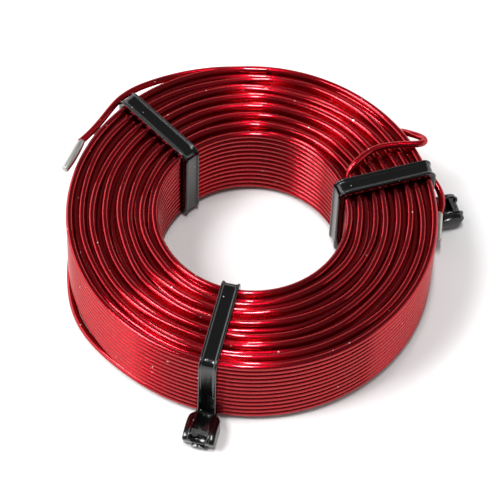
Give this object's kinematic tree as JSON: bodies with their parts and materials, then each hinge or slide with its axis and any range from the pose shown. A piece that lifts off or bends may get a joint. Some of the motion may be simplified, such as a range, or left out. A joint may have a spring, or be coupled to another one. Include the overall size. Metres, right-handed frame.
{
  "type": "air core inductor",
  "caption": "Air core inductor: a ring of close-packed enamelled copper wire held by cable ties, with two tinned leads.",
  "frame": {"origin": "on the axis of the ring, in the plane of the strap undersides that it stands on", "axes": "+Z along the axis of the ring, upwards; -Y is the front, where one cable tie's head lies; +X to the right"},
  "size_m": [0.0822, 0.0814, 0.0206],
  "materials": {
    "enamelled_copper": "gloss",
    "solder": "satin",
    "nylon": "satin"
  },
  "bodies": {
    "root": {"winding": "enamelled_copper", "finish_lead_tin": "solder", "start_lead_tin": "solder", "cable_tie_front": "nylon", "cable_tie_left": "nylon", "cable_tie_right": "nylon"}
  },
  "joints": []
}
